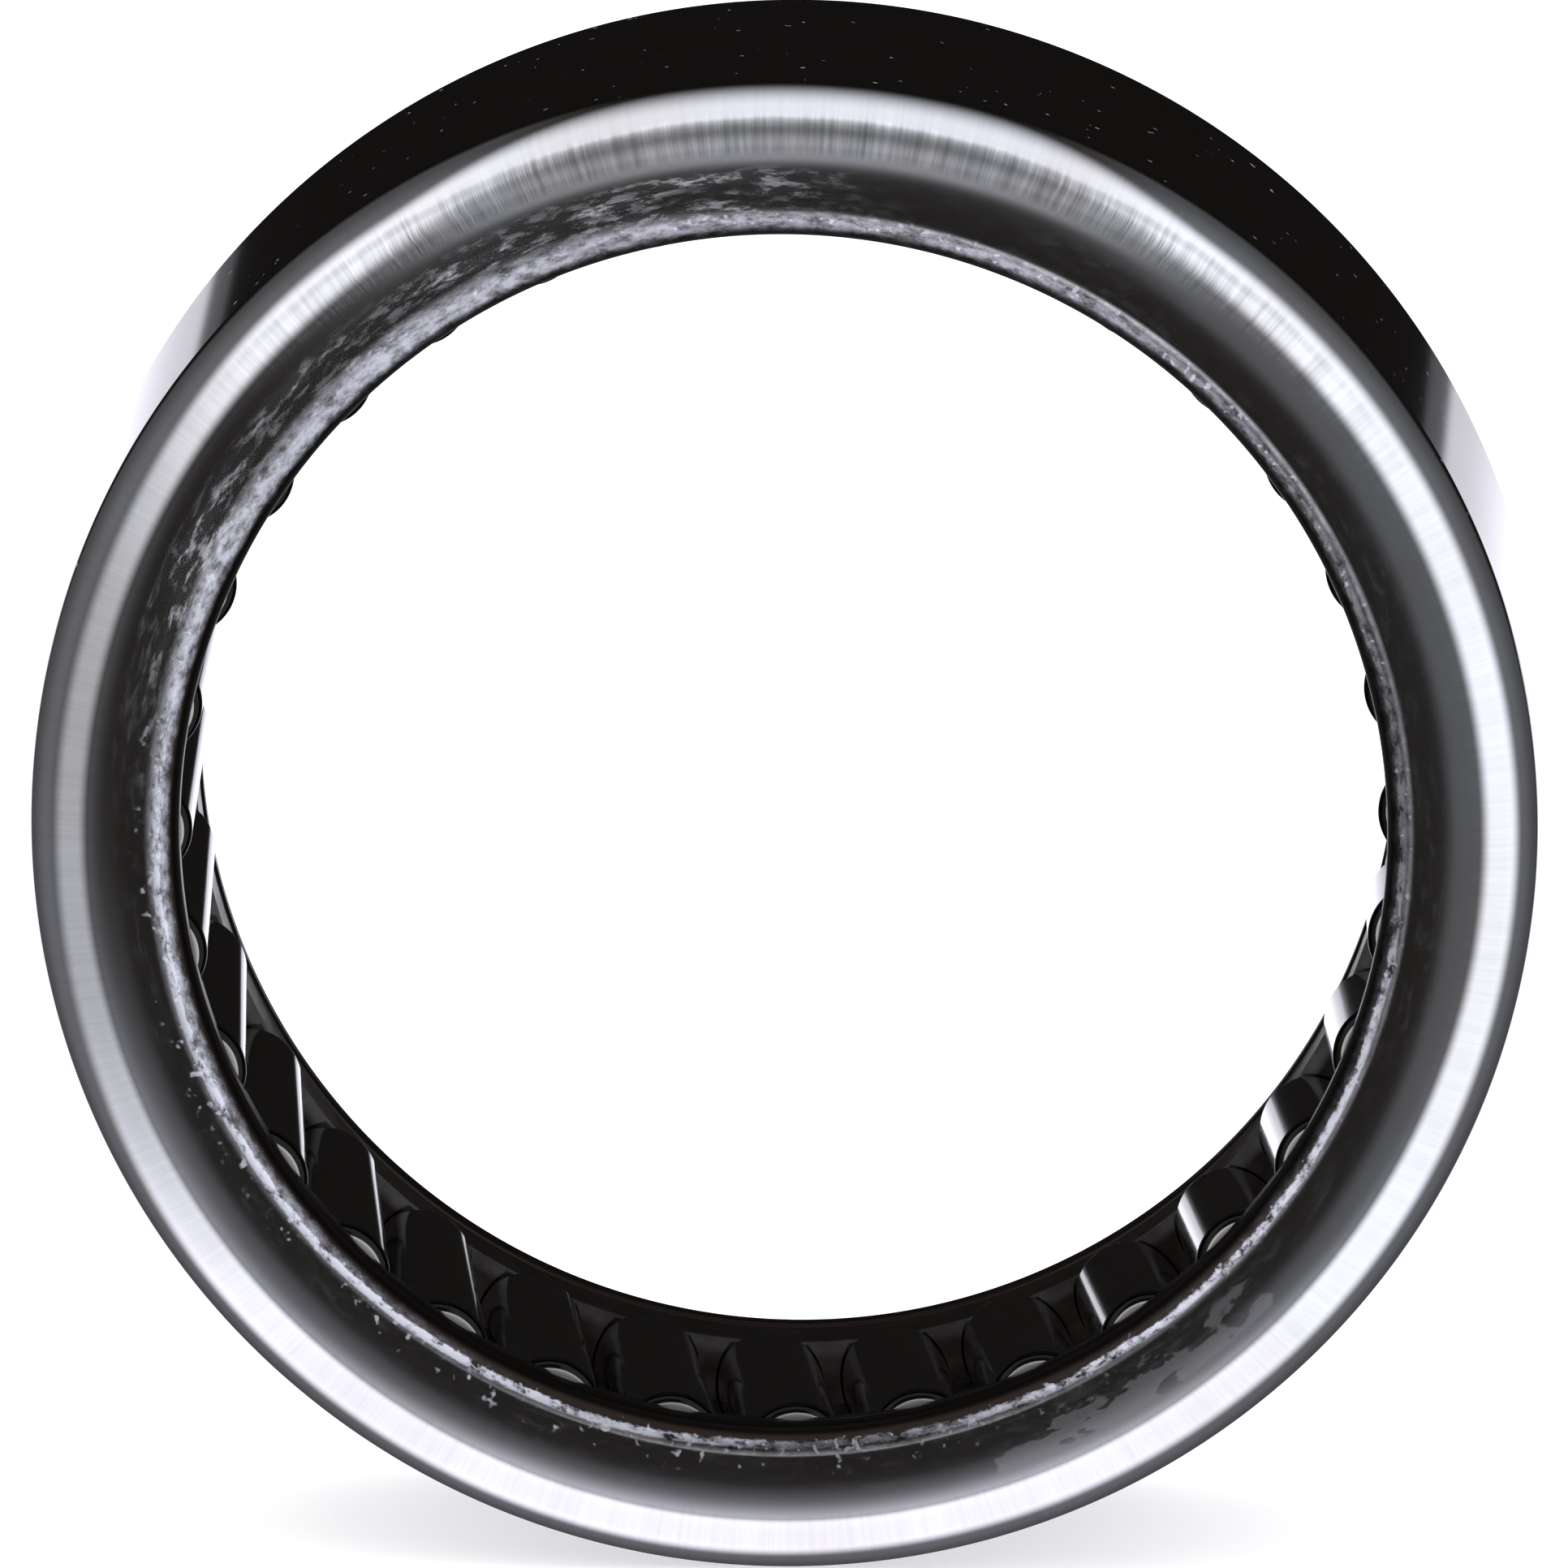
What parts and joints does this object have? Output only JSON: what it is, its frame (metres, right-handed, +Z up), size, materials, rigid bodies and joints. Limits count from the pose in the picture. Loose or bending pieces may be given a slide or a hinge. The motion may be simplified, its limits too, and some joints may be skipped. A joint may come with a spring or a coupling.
{
  "type": "needle roller bearing",
  "caption": "Open-ended drawn-cup needle roller bearing: a thin steel cup with rolled-in lips holding a caged ring of free-turning needles.",
  "frame": {"origin": "centre of the bearing, on its axis, halfway between the two lip faces", "axes": "Y along the bearing axis, -Y towards the near lip face; +Z up, so the bearing stands on its rim"},
  "size_m": [0.0444, 0.019, 0.0444],
  "materials": {
    "cup_steel": "drawn and ground steel with brushed lips and an oil film",
    "cage_steel": "oiled pressed sheet steel",
    "needle_steel": "polished bearing steel"
  },
  "bodies": {
    "cup": {"drawn_cup": "cup_steel"},
    "cage": {"needle_cage": "cage_steel"},
    "needle_01": {"needle_roller_01": "needle_steel"},
    "needle_02": {"needle_roller_02": "needle_steel"},
    "needle_03": {"needle_roller_03": "needle_steel"},
    "needle_04": {"needle_roller_04": "needle_steel"},
    "needle_05": {"needle_roller_05": "needle_steel"},
    "needle_06": {"needle_roller_06": "needle_steel"},
    "needle_07": {"needle_roller_07": "needle_steel"},
    "needle_08": {"needle_roller_08": "needle_steel"},
    "needle_09": {"needle_roller_09": "needle_steel"},
    "needle_10": {"needle_roller_10": "needle_steel"},
    "needle_11": {"needle_roller_11": "needle_steel"},
    "needle_12": {"needle_roller_12": "needle_steel"},
    "needle_13": {"needle_roller_13": "needle_steel"},
    "needle_14": {"needle_roller_14": "needle_steel"},
    "needle_15": {"needle_roller_15": "needle_steel"},
    "needle_16": {"needle_roller_16": "needle_steel"},
    "needle_17": {"needle_roller_17": "needle_steel"},
    "needle_18": {"needle_roller_18": "needle_steel"},
    "needle_19": {"needle_roller_19": "needle_steel"},
    "needle_20": {"needle_roller_20": "needle_steel"},
    "needle_21": {"needle_roller_21": "needle_steel"},
    "needle_22": {"needle_roller_22": "needle_steel"},
    "needle_23": {"needle_roller_23": "needle_steel"},
    "needle_24": {"needle_roller_24": "needle_steel"},
    "needle_25": {"needle_roller_25": "needle_steel"},
    "needle_26": {"needle_roller_26": "needle_steel"},
    "needle_27": {"needle_roller_27": "needle_steel"},
    "needle_28": {"needle_roller_28": "needle_steel"},
    "needle_29": {"needle_roller_29": "needle_steel"},
    "needle_30": {"needle_roller_30": "needle_steel"},
    "needle_31": {"needle_roller_31": "needle_steel"},
    "needle_32": {"needle_roller_32": "needle_steel"}
  },
  "joints": [
    {"name": "cage_spin", "type": "hinge", "parent": "cup", "child": "cage", "pos_m": [0, 0, 0], "axis": [0, 1, 0], "continuous": true},
    {"name": "needle_01_spin", "type": "hinge", "parent": "cage", "child": "needle_01", "pos_m": [-0.00008, -0.00095, -0.01905], "axis": [-0.0958, 0.9954, 0.0004], "continuous": true},
    {"name": "needle_02_spin", "type": "hinge", "parent": "cage", "child": "needle_02", "pos_m": [0.00363, -0.00095, -0.0187], "axis": [-0.0941, 0.9954, -0.0183], "continuous": true},
    {"name": "needle_03_spin", "type": "hinge", "parent": "cage", "child": "needle_03", "pos_m": [0.00721, -0.00095, -0.01763], "axis": [-0.0887, 0.9954, -0.0363], "continuous": true},
    {"name": "needle_04_spin", "type": "hinge", "parent": "cage", "child": "needle_04", "pos_m": [0.01051, -0.00095, -0.01589], "axis": [-0.0799, 0.9954, -0.0529], "continuous": true},
    {"name": "needle_05_spin", "type": "hinge", "parent": "cage", "child": "needle_05", "pos_m": [0.01341, -0.00095, -0.01353], "axis": [-0.0681, 0.9954, -0.0675], "continuous": true},
    {"name": "needle_06_spin", "type": "hinge", "parent": "cage", "child": "needle_06", "pos_m": [0.01579, -0.00095, -0.01065], "axis": [-0.0536, 0.9954, -0.0795], "continuous": true},
    {"name": "needle_07_spin", "type": "hinge", "parent": "cage", "child": "needle_07", "pos_m": [0.01757, -0.00095, -0.00737], "axis": [-0.0371, 0.9954, -0.0884], "continuous": true},
    {"name": "needle_08_spin", "type": "hinge", "parent": "cage", "child": "needle_08", "pos_m": [0.01867, -0.00095, -0.0038], "axis": [-0.0191, 0.9954, -0.0939], "continuous": true},
    {"name": "needle_09_spin", "type": "hinge", "parent": "cage", "child": "needle_09", "pos_m": [0.01905, -0.00095, -0.00008], "axis": [-0.0004, 0.9954, -0.0958], "continuous": true},
    {"name": "needle_10_spin", "type": "hinge", "parent": "cage", "child": "needle_10", "pos_m": [0.0187, -0.00095, 0.00363], "axis": [0.0183, 0.9954, -0.0941], "continuous": true},
    {"name": "needle_11_spin", "type": "hinge", "parent": "cage", "child": "needle_11", "pos_m": [0.01763, -0.00095, 0.00721], "axis": [0.0363, 0.9954, -0.0887], "continuous": true},
    {"name": "needle_12_spin", "type": "hinge", "parent": "cage", "child": "needle_12", "pos_m": [0.01589, -0.00095, 0.01051], "axis": [0.0529, 0.9954, -0.0799], "continuous": true},
    {"name": "needle_13_spin", "type": "hinge", "parent": "cage", "child": "needle_13", "pos_m": [0.01353, -0.00095, 0.01341], "axis": [0.0675, 0.9954, -0.0681], "continuous": true},
    {"name": "needle_14_spin", "type": "hinge", "parent": "cage", "child": "needle_14", "pos_m": [0.01065, -0.00095, 0.01579], "axis": [0.0795, 0.9954, -0.0536], "continuous": true},
    {"name": "needle_15_spin", "type": "hinge", "parent": "cage", "child": "needle_15", "pos_m": [0.00737, -0.00095, 0.01757], "axis": [0.0884, 0.9954, -0.0371], "continuous": true},
    {"name": "needle_16_spin", "type": "hinge", "parent": "cage", "child": "needle_16", "pos_m": [0.0038, -0.00095, 0.01867], "axis": [0.0939, 0.9954, -0.0191], "continuous": true},
    {"name": "needle_17_spin", "type": "hinge", "parent": "cage", "child": "needle_17", "pos_m": [0.00008, -0.00095, 0.01905], "axis": [0.0958, 0.9954, -0.0004], "continuous": true},
    {"name": "needle_18_spin", "type": "hinge", "parent": "cage", "child": "needle_18", "pos_m": [-0.00363, -0.00095, 0.0187], "axis": [0.0941, 0.9954, 0.0183], "continuous": true},
    {"name": "needle_19_spin", "type": "hinge", "parent": "cage", "child": "needle_19", "pos_m": [-0.00721, -0.00095, 0.01763], "axis": [0.0887, 0.9954, 0.0363], "continuous": true},
    {"name": "needle_20_spin", "type": "hinge", "parent": "cage", "child": "needle_20", "pos_m": [-0.01051, -0.00095, 0.01589], "axis": [0.0799, 0.9954, 0.0529], "continuous": true},
    {"name": "needle_21_spin", "type": "hinge", "parent": "cage", "child": "needle_21", "pos_m": [-0.01341, -0.00095, 0.01353], "axis": [0.0681, 0.9954, 0.0675], "continuous": true},
    {"name": "needle_22_spin", "type": "hinge", "parent": "cage", "child": "needle_22", "pos_m": [-0.01579, -0.00095, 0.01065], "axis": [0.0536, 0.9954, 0.0795], "continuous": true},
    {"name": "needle_23_spin", "type": "hinge", "parent": "cage", "child": "needle_23", "pos_m": [-0.01757, -0.00095, 0.00737], "axis": [0.0371, 0.9954, 0.0884], "continuous": true},
    {"name": "needle_24_spin", "type": "hinge", "parent": "cage", "child": "needle_24", "pos_m": [-0.01867, -0.00095, 0.0038], "axis": [0.0191, 0.9954, 0.0939], "continuous": true},
    {"name": "needle_25_spin", "type": "hinge", "parent": "cage", "child": "needle_25", "pos_m": [-0.01905, -0.00095, 0.00008], "axis": [0.0004, 0.9954, 0.0958], "continuous": true},
    {"name": "needle_26_spin", "type": "hinge", "parent": "cage", "child": "needle_26", "pos_m": [-0.0187, -0.00095, -0.00363], "axis": [-0.0183, 0.9954, 0.0941], "continuous": true},
    {"name": "needle_27_spin", "type": "hinge", "parent": "cage", "child": "needle_27", "pos_m": [-0.01763, -0.00095, -0.00721], "axis": [-0.0363, 0.9954, 0.0887], "continuous": true},
    {"name": "needle_28_spin", "type": "hinge", "parent": "cage", "child": "needle_28", "pos_m": [-0.01589, -0.00095, -0.01051], "axis": [-0.0529, 0.9954, 0.0799], "continuous": true},
    {"name": "needle_29_spin", "type": "hinge", "parent": "cage", "child": "needle_29", "pos_m": [-0.01353, -0.00095, -0.01341], "axis": [-0.0675, 0.9954, 0.0681], "continuous": true},
    {"name": "needle_30_spin", "type": "hinge", "parent": "cage", "child": "needle_30", "pos_m": [-0.01065, -0.00095, -0.01579], "axis": [-0.0795, 0.9954, 0.0536], "continuous": true},
    {"name": "needle_31_spin", "type": "hinge", "parent": "cage", "child": "needle_31", "pos_m": [-0.00737, -0.00095, -0.01757], "axis": [-0.0884, 0.9954, 0.0371], "continuous": true},
    {"name": "needle_32_spin", "type": "hinge", "parent": "cage", "child": "needle_32", "pos_m": [-0.0038, -0.00095, -0.01867], "axis": [-0.0939, 0.9954, 0.0191], "continuous": true}
  ],
  "couplings": [
    {"joint": "needle_01_spin", "follows": "cage_spin", "ratio": -13},
    {"joint": "needle_02_spin", "follows": "cage_spin", "ratio": -13},
    {"joint": "needle_03_spin", "follows": "cage_spin", "ratio": -13},
    {"joint": "needle_04_spin", "follows": "cage_spin", "ratio": -13},
    {"joint": "needle_05_spin", "follows": "cage_spin", "ratio": -13},
    {"joint": "needle_06_spin", "follows": "cage_spin", "ratio": -13},
    {"joint": "needle_07_spin", "follows": "cage_spin", "ratio": -13},
    {"joint": "needle_08_spin", "follows": "cage_spin", "ratio": -13},
    {"joint": "needle_09_spin", "follows": "cage_spin", "ratio": -13},
    {"joint": "needle_10_spin", "follows": "cage_spin", "ratio": -13},
    {"joint": "needle_11_spin", "follows": "cage_spin", "ratio": -13},
    {"joint": "needle_12_spin", "follows": "cage_spin", "ratio": -13},
    {"joint": "needle_13_spin", "follows": "cage_spin", "ratio": -13},
    {"joint": "needle_14_spin", "follows": "cage_spin", "ratio": -13},
    {"joint": "needle_15_spin", "follows": "cage_spin", "ratio": -13},
    {"joint": "needle_16_spin", "follows": "cage_spin", "ratio": -13},
    {"joint": "needle_17_spin", "follows": "cage_spin", "ratio": -13},
    {"joint": "needle_18_spin", "follows": "cage_spin", "ratio": -13},
    {"joint": "needle_19_spin", "follows": "cage_spin", "ratio": -13},
    {"joint": "needle_20_spin", "follows": "cage_spin", "ratio": -13},
    {"joint": "needle_21_spin", "follows": "cage_spin", "ratio": -13},
    {"joint": "needle_22_spin", "follows": "cage_spin", "ratio": -13},
    {"joint": "needle_23_spin", "follows": "cage_spin", "ratio": -13},
    {"joint": "needle_24_spin", "follows": "cage_spin", "ratio": -13},
    {"joint": "needle_25_spin", "follows": "cage_spin", "ratio": -13},
    {"joint": "needle_26_spin", "follows": "cage_spin", "ratio": -13},
    {"joint": "needle_27_spin", "follows": "cage_spin", "ratio": -13},
    {"joint": "needle_28_spin", "follows": "cage_spin", "ratio": -13},
    {"joint": "needle_29_spin", "follows": "cage_spin", "ratio": -13},
    {"joint": "needle_30_spin", "follows": "cage_spin", "ratio": -13},
    {"joint": "needle_31_spin", "follows": "cage_spin", "ratio": -13},
    {"joint": "needle_32_spin", "follows": "cage_spin", "ratio": -13}
  ]
}
